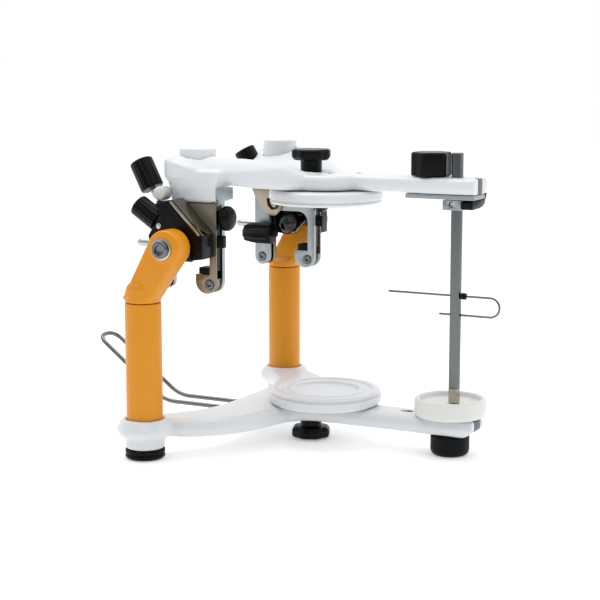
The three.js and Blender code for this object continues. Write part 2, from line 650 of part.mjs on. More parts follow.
// lever in front of the clamp block; its free end curls up beside the clamp plate
add('pin_lock_lever', frontPlate(new THREE.Shape([
  new THREE.Vector2(-8, 140.8), new THREE.Vector2(-7.2, 140.2), new THREE.Vector2(4, 140.4),
  new THREE.Vector2(8.4, 141), new THREE.Vector2(11.6, 142.4), new THREE.Vector2(12.8, 144.8),
  new THREE.Vector2(14.8, 147.8), new THREE.Vector2(13.2, 148.2), new THREE.Vector2(11.2, 145.6),
  new THREE.Vector2(9, 144.9), new THREE.Vector2(-7.2, 144.6), new THREE.Vector2(-8, 143.8),
]), -164.4, -158.1), 'black');
add('upper_bar_insert', barInsert(UPPER_SLOT, UPPER_BAR_FRONT + 0.3), 'black');

// ---------------------------------------------------------------- condylar mechanism, one per side

// Side outline of the bracket: two legs joined at the top, the front one with a hooked foot.
function bracketShape() {
  return new THREE.Shape([
    new THREE.Vector2(5.6, BRACKET_TOP),
    ...arcPoints(0.6, 98, 5, 0, -Math.PI, 10),
    ...arcPoints(-7.9, 124.1, 3.5, 0, Math.PI / 2, 5),
    ...arcPoints(LEG_BACK + 6.5, 121.1, 6.5, Math.PI / 2, Math.PI, 5),
    new THREE.Vector2(LEG_BACK, 103.2), new THREE.Vector2(-22.6, 103.2),
    ...arcPoints(-29.6, 99.5, 7, 0, -Math.PI / 2, 6),
    ...arcPoints(-29.6, 98.9, 6.4, -Math.PI / 2, -Math.PI, 6),
    new THREE.Vector2(LEG_FRONT, BRACKET_TOP),
  ]);
}

// The bracket hangs under the housing; a tongue in the housing's pocket carries its front lug.
function bracket(side) {
  const plate = sidePlate(bracketShape(), side * BRACKET_INNER_X, side * BRACKET_OUTER_X);
  const tongue = block(side * TONGUE.inner, side * TONGUE.outer,
    LUG.back - 1, TONGUE.back, BRACKET_TOP - 1, TONGUE.top);
  const lug = block(side * BRACKET_INNER_X, side * BRACKET_OUTER_X,
    LUG.front, LUG.back, LUG.bottom, LUG.top);
  const bore = (y, z) => rod(2.6 + GAP, [side * 50, y, z], [side * 70, y, z], 16);
  return cut(
    join(plate, tongue, lug),
    block(side * LATCH_SLOT.inner, side * LATCH_SLOT.outer,
      LEG_FRONT - 4, LATCH_SLOT.back, LATCH_SLOT.bottom, LATCH_SLOT.top),
    block(side * 60.2, side * 70, -4, 10, 112, 150),
    block(side * 58.7, side * 61.5, -6, -2, 95, 118),
    rod(FACEBOW_RADIUS + GAP, [side * 58, -1, FACEBOW_Z], [side * 58, 10, FACEBOW_Z], 16),
    bore(SCREW_FRONT.y, SCREW_FRONT.z),
    bore(SCREW_REAR.y, SCREW_REAR.z),
  );
}

// Socket screw seen on both faces of the bracket.
function throughScrew(side, y, z) {
  const inner = side * (BRACKET_INNER_X - 0.4);
  const outer = side * (BRACKET_OUTER_X + 0.4);
  const socket = (x, direction) => turned([[0, 0], [1.4, 0], [1.4, 2], [0, 2]], [x, y, z], direction, 6);
  return cut(
    rod(2.6, [inner, y, z], [outer, y, z], 16),
    socket(side * (BRACKET_OUTER_X - 0.8), [side, 0, 0]),
    socket(side * (BRACKET_INNER_X + 0.8), [-side, 0, 0]),
  );
}

// Rectangle that lies along the condylar path: u runs up the path, v square to it, both from the axis.
function pathBand(u0, u1, v0, v1) {
  const along = new THREE.Vector2(Math.SQRT1_2, Math.SQRT1_2);
  const across = new THREE.Vector2(-Math.SQRT1_2, Math.SQRT1_2);
  const corners = [[u0, v0], [u1, v0], [u1, v1], [u0, v1]];
  return new THREE.Shape(corners.map(([u, v]) => new THREE.Vector2(AXIS_Y, AXIS_Z)
    .addScaledVector(along, u).addScaledVector(across, v)));
}

// Black guide box between bracket and column head, with a slot below for the axle.
function guideBox(side) {
  const slotY = AXIS_Y - 1.5;
  const slotRadius = 6.8;
  const shape = new THREE.Shape([
    new THREE.Vector2(0.4, 124.9), new THREE.Vector2(-7.1, 137), new THREE.Vector2(-4.4, 143),
    new THREE.Vector2(-9, 144.4), new THREE.Vector2(-14.8, 145.5), new THREE.Vector2(-34.3, 126.1),
    new THREE.Vector2(-34.3, 113.4), new THREE.Vector2(slotY - slotRadius, 112.2),
    ...arcPoints(slotY, AXIS_Z - 1.2, slotRadius, Math.PI, 0, 8),
    new THREE.Vector2(slotY + slotRadius, 111.4), new THREE.Vector2(-3.4, 112.6),
  ]);
  const box = sidePlate(shape, side * (BRACKET_OUTER_X + GAP), side * BOX_OUTER_X, 0.6, 1);
  const seat = pathBand(STRIP.from - GAP, STRIP.to + GAP, STRIP.low - GAP, STRIP.high + 2);
  return cut(box, sidePlate(seat, side * (STRIP.inner - GAP), side * (BOX_OUTER_X + 2)));
}

// Steel strip let into the outer face of the guide box, under its sloping top edge.
function guideStrip(side) {
  const shape = pathBand(STRIP.from, STRIP.to, STRIP.low, STRIP.high);
  return sidePlate(shape, side * STRIP.inner, side * STRIP.outer);
}

// Knob on a thinner spindle that reaches back from it.
function spindleKnob(base, direction, radius, length, spindle) {
  const along = new THREE.Vector3(...direction).normalize();
  const pointAt = (distance) => new THREE.Vector3(...base).addScaledVector(along, distance).toArray();
  return join(
    knobBody(radius, length, 1, base, along.toArray()),
    rod(1.9, pointAt(-spindle), pointAt(2), 12),
  );
}

// Black latch bar that slides in the slot of the front leg, with a finger tab.
function latchBar(side) {
  const bar = block(side * (LATCH_SLOT.inner + GAP), side * (LATCH_SLOT.outer - GAP), -35.4,
    LATCH_SLOT.back - GAP, LATCH_SLOT.bottom + LATCH_TRAVEL + GAP, LATCH_SLOT.top - GAP);
  const tab = block(side * 60, side * 63.2, -39.4, -35, 118.4, 125.2);
  return join(bar, tab);
}

for (const [side, name] of [[-1, 'right'], [1, 'left']]) {
  const x = (value) => side * value;
  add(`column_head_${name}`, columnHead(side), 'orange');
  add(`axle_screw_${name}`, axleScrew(side), 'steel');
  add(`axle_washer_${name}`, washer(side), 'steel');
  add(`condyle_ball_${name}`, condyleBall(side), 'black');
  add(`housing_cap_${name}`, knobBody(CAP_RADIUS, CAP_TOP - 157.7, 0.8,
    [x(HOUSING_X), HOUSING_Y, 157.7], [0, 0, 1], 24), 'white');
  add(`condylar_bracket_${name}`, bracket(side), 'satin');
  add(`bracket_screw_front_${name}`, throughScrew(side, SCREW_FRONT.y, SCREW_FRONT.z), 'steel');
  add(`bracket_screw_rear_${name}`, throughScrew(side, SCREW_REAR.y, SCREW_REAR.z), 'steel');
  add(`latch_bar_${name}`, latchBar(side), 'black');
  add(`latch_pad_${name}`, block(x(56.4), x(64.6), LEG_BACK + GAP, -24.4, 103.5, 107.1), 'rubber');
  add(`guide_box_${name}`, guideBox(side), 'black');
  add(`guide_strip_${name}`, guideStrip(side), 'satin');
  add(`inclination_knob_${name}`,
    spindleKnob([x(61.5), 7.2, 149.6], [x(-1.5), 9.1, 15.9], KNOB_RADIUS, 17.6, 5), 'black');
  add(`protrusion_knob_${name}`,
    spindleKnob([x(72), -3.3, 132.4], [0, 14.5, 9.5], KNOB_RADIUS - 0.5, 16.4, 0.6), 'black');
  add(`side_shift_knob_${name}`,
    spindleKnob([x(48.4), -11, 113.6], [0, 1, 0], KNOB_RADIUS, 19.8, 3), 'black');
  add(`centric_lock_knob_${name}`, turned([
    [0, 0], [3.4, 0], [3.4, 1.2], [6.4, 1.2], [7, 1.9], [7, 4.8], [6.2, 6.3], [4.6, 7.1], [0, 7.4],
  ], [x(59.4), LEG_FRONT - GAP, 134.6], [0, -1, 0], 20), 'black');
  add(`shift_stop_${name}`, knobBody(4, 8.6, 1.4, [x(60.3), STOP_Y, STOP_Z], [side, 0, 0], 16), 'white');
  add(`facebow_pin_${name}`, turned([
    [0, 0], [FACEBOW_RADIUS, 0], [FACEBOW_RADIUS, 17], [1.9, 18.6], [1.1, 19.6], [0, 20],
  ], [x(58), 0.4, FACEBOW_Z], [0, 1, 0], 16), 'steel');
}

articulator.position.y = -ORIGIN_Y;
articulator.updateMatrixWorld(true);

export default articulator;
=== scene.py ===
"""Semi-adjustable dental articulator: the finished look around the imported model.

Lengths in the helpers are millimetres and are turned into metres where a mesh is made.
"left" and "right" are the patient's sides, so right is -X.
"""

import json
import math

import bmesh
import bpy
from mathutils import Matrix, Vector


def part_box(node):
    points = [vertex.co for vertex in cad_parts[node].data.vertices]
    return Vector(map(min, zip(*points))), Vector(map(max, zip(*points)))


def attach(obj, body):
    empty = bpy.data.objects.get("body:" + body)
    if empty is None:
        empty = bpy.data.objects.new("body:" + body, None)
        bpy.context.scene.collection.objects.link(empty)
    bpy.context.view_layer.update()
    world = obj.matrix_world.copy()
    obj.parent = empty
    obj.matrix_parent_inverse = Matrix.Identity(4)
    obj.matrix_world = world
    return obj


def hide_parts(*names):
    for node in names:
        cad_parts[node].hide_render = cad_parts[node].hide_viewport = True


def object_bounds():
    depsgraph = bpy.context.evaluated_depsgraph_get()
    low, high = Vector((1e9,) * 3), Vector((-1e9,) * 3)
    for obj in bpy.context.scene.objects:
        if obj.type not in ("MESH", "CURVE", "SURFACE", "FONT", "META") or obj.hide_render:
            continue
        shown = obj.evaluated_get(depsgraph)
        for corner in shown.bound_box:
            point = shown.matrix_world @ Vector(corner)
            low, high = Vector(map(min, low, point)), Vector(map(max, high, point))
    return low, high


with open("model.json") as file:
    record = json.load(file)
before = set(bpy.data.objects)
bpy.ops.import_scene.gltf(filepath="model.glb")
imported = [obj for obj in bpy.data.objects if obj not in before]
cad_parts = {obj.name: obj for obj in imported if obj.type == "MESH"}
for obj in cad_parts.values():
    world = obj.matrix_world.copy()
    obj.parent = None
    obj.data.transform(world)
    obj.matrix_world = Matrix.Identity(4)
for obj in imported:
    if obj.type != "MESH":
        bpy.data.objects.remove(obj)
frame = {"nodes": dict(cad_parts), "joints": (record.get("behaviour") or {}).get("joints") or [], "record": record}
cad_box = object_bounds()

MM = 0.001
SIDES = {"right": -1, "left": 1}
UP, DOWN = (0, 0, 1), (0, 0, -1)
COLUMN_Y = 47.6  # distance of the column axes behind the frame's origin
NODES = frame["nodes"]
JOINTS = {joint["name"]: joint for joint in frame["joints"]}
BODY_OF = {
    node: body
    for body, members in frame["record"]["behaviour"]["bodies"].items()
    for node in members
}
SLOT_OF = {part["node"]: part["material_slot"] for part in frame["record"]["subparts"]}


def at(x, y, z):
    """Point in metres; y is measured from the column axes."""
    return Vector((x, y + COLUMN_Y, z)) * MM


# ---------------------------------------------------------------- materials

EVEN_GRAIN = (260, 260, 260)  # noise cells in a metre along X, Y and Z
COAT_ROUGHNESS = 0.08
BUMP_HEIGHT = 0.0004  # metres
ROUGHNESS_SPREAD = 0.15  # share by which the roughness goes up and down


def material(
    name, color, roughness, metallic=0.0, coat=0.0, gloss=0.5, grain=EVEN_GRAIN, mottle=0.04, bump=0.05
):
    """Principled surface whose colour, roughness and height vary a little with a noise in object space.

    grain is the noise's density along X, Y and Z: a low value along an axis draws brush lines along it.
    mottle is the share by which the colour gets darker and lighter.
    """
    made = bpy.data.materials.new(name)
    made.use_nodes = True
    nodes, links = made.node_tree.nodes, made.node_tree.links
    shader = nodes["Principled BSDF"]
    shader.inputs["Metallic"].default_value = metallic
    shader.inputs["Coat Weight"].default_value = coat
    shader.inputs["Specular IOR Level"].default_value = gloss
    shader.inputs["Coat Roughness"].default_value = COAT_ROUGHNESS
    place = nodes.new("ShaderNodeTexCoord")
    scale = nodes.new("ShaderNodeMapping")
    scale.inputs["Scale"].default_value = grain
    links.new(place.outputs["Object"], scale.inputs["Vector"])
    texture = nodes.new("ShaderNodeTexNoise")
    texture.inputs["Scale"].default_value = 1.0
    texture.inputs["Detail"].default_value = 4.0
    links.new(scale.outputs["Vector"], texture.inputs["Vector"])
    tint = nodes.new("ShaderNodeMix")
    tint.data_type = "RGBA"
    tint.inputs["A"].default_value = [max(0.0, c * (1 - mottle)) for c in color] + [1]
    tint.inputs["B"].default_value = [min(1.0, c * (1 + mottle)) for c in color] + [1]
    links.new(texture.outputs["Fac"], tint.inputs["Factor"])
    links.new(tint.outputs["Result"], shader.inputs["Base Color"])
    rough = nodes.new("ShaderNodeMapRange")
    rough.inputs["To Min"].default_value = roughness * (1 - ROUGHNESS_SPREAD)
    rough.inputs["To Max"].default_value = min(1.0, roughness * (1 + ROUGHNESS_SPREAD))
    links.new(texture.outputs["Fac"], rough.inputs["Value"])
    links.new(rough.outputs["Result"], shader.inputs["Roughness"])
    height = nodes.new("ShaderNodeBump")
    height.inputs["Strength"].default_value = bump
    height.inputs["Distance"].default_value = BUMP_HEIGHT
    links.new(texture.outputs["Fac"], height.inputs["Height"])
    links.new(height.outputs["Normal"], shader.inputs["Normal"])
    return made


def banded(name, base, axis, stops):
    """Copy of a material whose colour changes in steps along an axis of the piece.

    stops is a list of (distance in mm from the middle plane or the ground, colour).
    """
    made = base.copy()
    made.name = name
    nodes, links = made.node_tree.nodes, made.node_tree.links
    shader = nodes["Principled BSDF"]
    place = nodes.new("ShaderNodeTexCoord")
    split = nodes.new("ShaderNodeSeparateXYZ")
    links.new(place.outputs["Object"], split.inputs["Vector"])
    distance = nodes.new("ShaderNodeMath")
    distance.operation = "ABSOLUTE"
    links.new(split.outputs[axis], distance.inputs[0])
    low, high = stops[0][0] - 1, stops[-1][0] + 1
    span = nodes.new("ShaderNodeMapRange")
    span.inputs["From Min"].default_value = low * MM
    span.inputs["From Max"].default_value = high * MM
    links.new(distance.outputs[0], span.inputs["Value"])
    ramp = nodes.new("ShaderNodeValToRGB")
    ramp.color_ramp.interpolation = "CONSTANT"
    elements = ramp.color_ramp.elements
    while len(elements) < len(stops):
        elements.new(0.5)
    for element, (start, color) in zip(elements, stops):
        element.position = (start - low) / (high - low)
        element.color = (*color, 1)
    elements[0].position = 0
    links.new(span.outputs["Result"], ramp.inputs["Fac"])
    links.new(ramp.outputs["Color"], shader.inputs["Base Color"])
    return made


SATIN = (0.34, 0.38, 0.4)
LOOKS = {
    "white_paint": material("white_paint", (0.72, 0.735, 0.75), 0.34, coat=0.15, mottle=0.015),
    "white_plastic": material("white_plastic", (0.74, 0.74, 0.71), 0.46, mottle=0.015),
    "orange_anodised": material("orange_anodised", (0.72, 0.275, 0.01), 0.33, gloss=0.3, mottle=0.03),
    "black_plastic": material(
        "black_plastic", (0.0015, 0.002, 0.0025), 0.28, gloss=0.14, mottle=0.2, bump=0.12
    ),
    "black_rubber": material(
        "black_rubber", (0.002, 0.0025, 0.003), 0.5, gloss=0.15, mottle=0.2, bump=0.2
    ),
    "polished_steel": material(
        "polished_steel", (0.5, 0.51, 0.5), 0.2, metallic=1, grain=(900, 900, 40), mottle=0.08, bump=0.06
    ),
    "satin_steel": material(
        "satin_steel", SATIN, 0.36, metallic=0.9, grain=(60, 700, 700), mottle=0.06, bump=0.08
    ),
}
MIRROR = material(
    "mirror_cover", (0.2, 0.18, 0.14), 0.14, metallic=1, grain=(60, 300, 40), mottle=0.1, bump=0.04
)
BRASSY = material(
    "warm_plate", (0.34, 0.3, 0.24), 0.24, metallic=1, grain=(300, 60, 60), mottle=0.08, bump=0.05
)
DARK_STEEL = material(
    "dark_steel", (0.16, 0.175, 0.19), 0.22, metallic=1, grain=(900, 900, 60), mottle=0.08, bump=0.04
)
PIN_STEEL = material(
    "pin_steel", (0.17, 0.19, 0.19), 0.2, metallic=1, grain=(900, 900, 40), mottle=0.06, bump=0.05
)
WIRE_STEEL = material(
    "wire_steel", (0.2, 0.19, 0.17), 0.24, metallic=1, grain=(900, 40, 900), mottle=0.08, bump=0.04
)
BALL_GLOSS = material("ball_gloss", (0.003, 0.0035, 0.004), 0.12, gloss=0.5, mottle=0.1, bump=0.0)
INSERT = material("bar_insert", (0.1, 0.115, 0.13), 0.45, gloss=0.3, mottle=0.08)
# Near black, used as painted shade in the small spots on the upper bar, and also for the recess screw and the
# spring hook.
DARK = material("dark_recess", (0.006, 0.006, 0.007), 0.7, mottle=0.2)
LINE = material("grey_line", (0.2, 0.21, 0.22), 0.5, metallic=0.4, mottle=0.1)
# inner plate, dark middle and warm outer plate of the bracket; light foot and darker blade of the pin
BRACKET = banded("bracket_layers", LOOKS["satin_steel"], "X", [
    (54, SATIN), (58.6, (0.012, 0.012, 0.014)), (61.6, (0.27, 0.24, 0.18)),
])
PIN = banded("pin_bands", PIN_STEEL, "Z", [(28, (0.42, 0.38, 0.29)), (38, (0.14, 0.155, 0.155))])


# ---------------------------------------------------------------- mesh helpers

ON_AXIS = 1e-6  # a profile point this near the axis is one vertex


def piece(mesh, name, body, slot, look=None, replaced=(), smooth=32):
    """A finished mesh as a piece of the object, riding on a body and standing for CAD nodes if any."""
    obj = bpy.data.objects.new(name, mesh)
    bpy.context.scene.collection.objects.link(obj)
    mesh.materials.clear()
    mesh.materials.append(look or LOOKS[slot])
    mesh.shade_smooth()
    mesh.set_sharp_from_angle(angle=math.radians(smooth))
    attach(obj, body)
    if replaced:
        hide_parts(*replaced)
    return obj


def stand_in(node, mesh, name, look=None):
    """Piece that takes the place of one CAD node."""
    return piece(mesh, name, BODY_OF[node], SLOT_OF[node], look=look, replaced=[node])


def fillet(profile, radius, steps=4):
    """Profile with its corners rounded, apart from its two ends."""
    points = [Vector(p) for p in profile]
    out = [points[0]]
    for before, corner, after in zip(points, points[1:], points[2:]):
        back, ahead = before - corner, after - corner
        reach = min(radius, back.length * 0.45, ahead.length * 0.45)
        start, end = corner + back.normalized() * reach, corner + ahead.normalized() * reach
        for i in range(steps + 1):
            t = i / steps
            out.append(start * (1 - t) ** 2 + corner * 2 * t * (1 - t) + end * t**2)
    out.append(points[-1])
    return out


def rod(radius, length, edge):
    """Profile of a plain round rod or disc with rounded edges."""
    return fillet([(0, 0), (radius, 0), (radius, length), (0, length)], edge)


def mesh_of(work, name):
    """Mesh made from a bmesh, which is freed, with its faces turned outwards."""
    bmesh.ops.recalc_face_normals(work, faces=work.faces)
    mesh = bpy.data.meshes.new(name)
    work.to_mesh(mesh)
    work.free()
    return mesh


def recolour(obj, look, chosen):
    """Give another material to the faces whose centre passes a test."""
    obj.data.materials.append(look)
    for face in obj.data.polygons:
        if chosen(face.center):
            face.material_index = 1


def turned(profile, base, direction, segments=96, shape=None):
    """Mesh of a profile of (radius, along) turned about the line from base along direction.

    The profile starts and ends on the axis. shape(angle, along, radius) may change the radius, for lobes
    and flutes.
    """
    axis = Vector(direction).normalized()
    turn = Vector((0, 0, 1)).rotation_difference(axis).to_matrix().to_4x4()
    place = Matrix.Translation(Vector(base)) @ turn
    work = bmesh.new()
    rings = []
    for radius, along in profile:
        if radius < ON_AXIS:
            rings.append([work.verts.new(place @ Vector((0, 0, along * MM)))])
            continue
        ring = []
        for i in range(segments):
            angle = 2 * math.pi * i / segments
            r = shape(angle, along, radius) if shape else radius
            rim = Vector((math.cos(angle) * r, math.sin(angle) * r, along))
            ring.append(work.verts.new(place @ (rim * MM)))
        rings.append(ring)
    for low, high in zip(rings, rings[1:]):
        for i in range(segments):
            j = (i + 1) % segments
            face = [low[i % len(low)], low[j % len(low)], high[j % len(high)], high[i % len(high)]]
            face = list(dict.fromkeys(face))
            if len(face) > 2:
                work.faces.new(face)
    return mesh_of(work, "turned")


def tube(points, radius, sides=24, rounded=True):
    """Round wire through points in metres; its ends are domed where rounded is set."""
    work = bmesh.new()
    rings = []
    stations = []
    for i, point in enumerate(points):
        ahead = points[min(i + 1, len(points) - 1)] - points[max(i - 1, 0)]
        stations.append((point, ahead.normalized(), radius))
    if rounded:
        first, last = stations[0], stations[-1]
        dome_angles = (math.radians(20), math.radians(50))
        cap = [(math.sin(a), math.cos(a)) for a in dome_angles]
        head = [(first[0] - first[1] * radius * MM * c, first[1], radius * s) for s, c in cap]
        tail = [(last[0] + last[1] * radius * MM * c, last[1], radius * s) for s, c in reversed(cap)]
        stations = head + stations + tail
    before = stations[0][1]
    normal = before.orthogonal().normalized()
    for point, tangent, r in stations:
        normal = before.rotation_difference(tangent) @ normal
        before = tangent
        other = tangent.cross(normal)
        rings.append([
            work.verts.new(point + (normal * math.cos(a) + other * math.sin(a)) * r * MM)
            for a in (2 * math.pi * k / sides for k in range(sides))
        ])
    for low, high in zip(rings, rings[1:]):
        for k in range(sides):
            m = (k + 1) % sides
            work.faces.new([low[k], low[m], high[m], high[k]])
    work.faces.new(list(reversed(rings[0])))
    work.faces.new(rings[-1])
    return mesh_of(work, "tube")


def side_plate(outline, x0, x1, edge=0.15):
    """Flat plate with a (y, z) outline, from x0 to x1, its edges slightly rounded."""
    work = bmesh.new()
    rows = [[work.verts.new(at(x, y, z)) for y, z in outline] for x in (x0, x1)]
    count = len(outline)
    for row in rows:
        work.faces.new(row)
    for i in range(count):
        j = (i + 1) % count
        work.faces.new([rows[0][i], rows[0][j], rows[1][j], rows[1][i]])
    bmesh.ops.recalc_face_normals(work, faces=work.faces)
    bmesh.ops.bevel(work, geom=work.edges[:], offset=edge * MM, segments=2, profile=0.5, affect="EDGES")
    mesh = bpy.data.meshes.new("side_plate")
    work.to_mesh(mesh)
    work.free()
    return mesh


def evaluated(obj):
    """The object's mesh with its modifiers applied; the object is removed."""
    graph = bpy.context.evaluated_depsgraph_get()
    mesh = bpy.data.meshes.new_from_object(obj.evaluated_get(graph))
    bpy.data.objects.remove(obj)
    return mesh


def copy_of(node):
    """Object in the scene with a copy of a CAD node's mesh, to put modifiers on."""
    obj = bpy.data.objects.new("work", NODES[node].data.copy())
    bpy.context.scene.collection.objects.link(obj)
    return obj


def cast(node, voxel, passes):
    """Smooth casting from a CAD node: an even skin of small quads, relaxed so that edges become fillets."""
    obj = copy_of(node)
    skin = obj.modifiers.new("skin", "REMESH")
    skin.mode = "VOXEL"
    skin.voxel_size = voxel * MM
    relax = obj.modifiers.new("relax", "SMOOTH")
    relax.factor = 0.5
    relax.iterations = passes
    return piece(
        evaluated(obj), node + "_cast", BODY_OF[node], SLOT_OF[node], replaced=[node], smooth=60
    )


def bevelled(node, width, look=None):
    """CAD node with its flat faces joined up and its edges rounded."""
    obj = copy_of(node)
    work = bmesh.new()
    work.from_mesh(obj.data)
    bmesh.ops.remove_doubles(work, verts=work.verts, dist=1e-6)
    bmesh.ops.dissolve_limit(
        work, angle_limit=math.radians(2), verts=work.verts, edges=work.edges, use_dissolve_boundaries=False
    )
    work.to_mesh(obj.data)
    work.free()
    edge = obj.modifiers.new("edge", "BEVEL")
    edge.width = width * MM
    edge.segments = 3
    edge.limit_method = "ANGLE"
    edge.angle_limit = math.radians(38)
    edge.use_clamp_overlap = True
    return piece(
        evaluated(obj), node + "_fine", BODY_OF[node], SLOT_OF[node], look=look, replaced=[node], smooth=30
    )


def extent(node, axis):
    """Start point of a round node that lies along X (0), Y (1) or Z (2), its length and its radius in mm."""
    low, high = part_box(node)
    start = (low + high) / 2
    start[axis] = low[axis]
    others = [high[i] - low[i] for i in range(3) if i != axis]
    return start, (high[axis] - low[axis]) / MM, max(others) / 2 / MM


def joint_line(name):
    """A point on a joint's axis and the axis itself."""
    joint = JOINTS[name]
    return Vector(joint["pos_m"]), Vector(joint["axis"])


LOBE_FULLNESS = 0.8  # under 1 makes the hollows wider and the lobes narrower


def lobes(count, depth, low=-math.inf, high=math.inf, inner=0):
    """Radius function for rounded lobes or flutes between two places along the axis."""

    def shape(angle, along, radius):
        if radius < inner or not low <= along <= high:
            return radius
        return radius - depth * (0.5 - 0.5 * math.cos(count * angle)) ** LOBE_FULLNESS

    return shape


# ---------------------------------------------------------------- lower member


def rear_foot(side):
    """Rubber foot with a groove round it."""
    node = f"rear_foot_{side}"
    start, length, radius = extent(node, 2)
    ring = [
        (0, 0), (radius - 1.2, 0), (radius, 1.2), (radius, 2.1), (radius - 0.7, 2.5),
        (radius - 0.7, 3.0), (radius, 3.4), (radius, length), (0, length),
    ]
    stand_in(node, turned(fillet(ring, 0.35), start, UP), f"rear_foot_ring_{side}")


cast("lower_frame", 0.75, 14)

for side in SIDES:
    start, length, radius = extent(f"column_{side}", 2)
    stand_in(f"column_{side}", turned(rod(radius, length, 0.7), start, UP), f"column_tube_{side}")
    rear_foot(side)
    cast(f"column_head_{side}", 0.42, 12)

start, length, radius = extent("front_foot", 2)
foot = [
    (0, 0), (radius - 2.2, 0), (radius - 0.4, 1.6), (radius, 3.4), (radius, length - 0.8),
    (radius - 0.8, length), (0, length),
]
stand_in("front_foot", turned(fillet(foot, 0.8), start, UP), "front_foot_pad")

start, length, radius = extent("incisal_table", 2)
floor_at = length - 3.2
cup = [
    (0, 0), (radius - 1.8, 0), (radius - 0.5, 0.7), (radius, 2.2), (radius, length - 0.8),
    (radius - 0.8, length), (radius - 2.4, length), (radius - 3.2, length - 0.9),
    (radius - 3.5, floor_at + 0.6), (radius - 4.4, floor_at), (0, floor_at),
]
stand_in("incisal_table", turned(fillet(cup, 0.6), start, UP, 128), "incisal_table_cup")


def plate_profile(radius, thickness):
    """Seat, wall, rim, a shallow groove, a raised ring and the recessed middle."""
    return [
        (0, 0), (radius - 1.6, 0), (radius - 0.1, 1.4), (radius, 5.2), (radius - 1.3, 5.5),
        (radius - 1.3, 6.3), (radius - 0.5, 6.6), (radius - 0.9, thickness - 0.8),
        (radius - 1.8, thickness), (radius - 5.4, thickness), (radius - 6.2, thickness - 1.1),
        (radius - 8.8, thickness - 1.1), (radius - 9.6, thickness - 0.3), (radius - 13, thickness - 0.3),
        (radius - 14.4, thickness - 1.9), (0, thickness - 1.9),
    ]


def plate_knob_profile(radius, length, collar_end):
    """Lobed grip, collar and the screw that goes through the frame into the plate."""
    collar, screw = 6.2, 3
    return [
        (0, 0), (radius - 1, 0), (radius, 1), (radius, 4.6), (radius - 1.6, 6.3), (collar + 0.2, 6.6),
        (collar, 7.6), (collar, collar_end), (screw, collar_end), (screw, length), (0, length),
    ]


def seat_of(node, upward):
    """Foot, direction, length and radius of a turned node that starts at its lower or its upper end."""
    start, length, radius = extent(node, 2)
    if not upward:
        start.z += length * MM
    return start, UP if upward else DOWN, length, radius


for node, upward in (("lower_mounting_plate", True), ("upper_mounting_plate", False)):
    start, direction, thickness, radius = seat_of(node, upward)
    disc = fillet(plate_profile(radius, thickness), 0.5)
    stand_in(node, turned(disc, start, direction, 144), node + "_disc")

for node, upward, collar_end in (("lower_plate_knob", True, 10.9), ("upper_plate_knob", False, 22)):
    start, direction, length, radius = seat_of(node, upward)
    knob = fillet(plate_knob_profile(radius, length, collar_end), 0.7)
    stand_in(node, turned(knob, start, direction, 192, lobes(8, 0.7, inner=8)), node + "_grip")


def rounded_route(corners, reach, steps=10):
    """Route through the corners, each rounded off from reach before it to reach after it."""
    route = [corners[0]]
    for before, corner, after in zip(corners, corners[1:], corners[2:]):
        start = corner + (before - corner).normalized() * min(reach, (before - corner).length * 0.49)
        end = corner + (after - corner).normalized() * min(reach, (after - corner).length * 0.49)
        for i in range(steps + 1):
            t = i / steps
            route.append(start * (1 - t) ** 2 + corner * 2 * t * (1 - t) + end * t**2)
    route.append(corners[-1])
    return route


def support_rod():
    """Tilt-back rod, worked out from its box: two legs, two bends up to the back and a closed end."""
    wire_radius, flat_run, bend_reach = 1.3, 64.5, 8.2
    low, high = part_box("rear_support")
    radius = wire_radius * MM
    half, end_y, end_z, leg_z = high.x - radius, high.y - radius, high.z - radius, low.z + radius
    bend_y = low.y + flat_run * MM
    corners = [
        Vector((-half, low.y, leg_z)), Vector((-half, bend_y, leg_z)), Vector((-half, end_y, end_z)),
        Vector((half, end_y, end_z)), Vector((half, bend_y, leg_z)), Vector((half, low.y, leg_z)),
    ]
    route = rounded_route(corners, bend_reach * MM)
    stand_in("rear_support", tube(route, wire_radius, rounded=False), "rear_support_rod", look=WIRE_STEEL)


support_rod()
bevelled("lower_bar_insert", 0.2, look=INSERT)


def bar_recess():
    """Oblong recess with its dark screw, drawn as thin pads on top of the lower bar."""
    bar_top, centre_y = 22.02, -123.6
    half_width, half_length, height, corners = 2.0, 3.9, 0.12, 40
    work = bmesh.new()
    outline = [
        at(half_width * math.sin(a), centre_y + half_length * math.cos(a), bar_top)
        for a in (2 * math.pi * k / corners for k in range(corners))
    ]
    face = work.faces.new([work.verts.new(corner) for corner in outline])
    raised = bmesh.ops.extrude_face_region(work, geom=[face])["geom"]
    top = [item for item in raised if isinstance(item, bmesh.types.BMVert)]
    bmesh.ops.translate(work, vec=(0, 0, height * MM), verts=top)
    piece(mesh_of(work, "recess"), "bar_recess", BODY_OF["lower_frame"], "polished_steel", look=LINE)
    screw = turned(rod(1.7, 0.22, 0.08), at(0, centre_y - 1.8, bar_top), UP, 40)
    piece(screw, "bar_recess_screw", BODY_OF["lower_frame"], "black_plastic", look=DARK)


bar_recess()

# ---------------------------------------------------------------- upper member

cast("upper_frame", 0.7, 8)

for side in SIDES:
    node = f"housing_cap_{side}"
    start, length, radius = extent(node, 2)
    stand_in(node, turned(rod(radius, length, 1.2), start, UP), f"housing_cap_disc_{side}")

start, length, radius = extent("pin_clamp_knob", 2)
grip_base, screw_radius = 6.6, 3
grip = [
    (0, 0), (screw_radius, 0), (screw_radius, grip_base), (radius - 0.7, grip_base),
    (radius, grip_base + 0.7), (radius, length - 0.9), (radius - 0.9, length), (0, length),
]
clamp_grip = turned(fillet(grip, 0.5), start, UP, 192, lobes(6, 1.3, inner=6))
stand_in("pin_clamp_knob", clamp_grip, "pin_clamp_knob_grip")
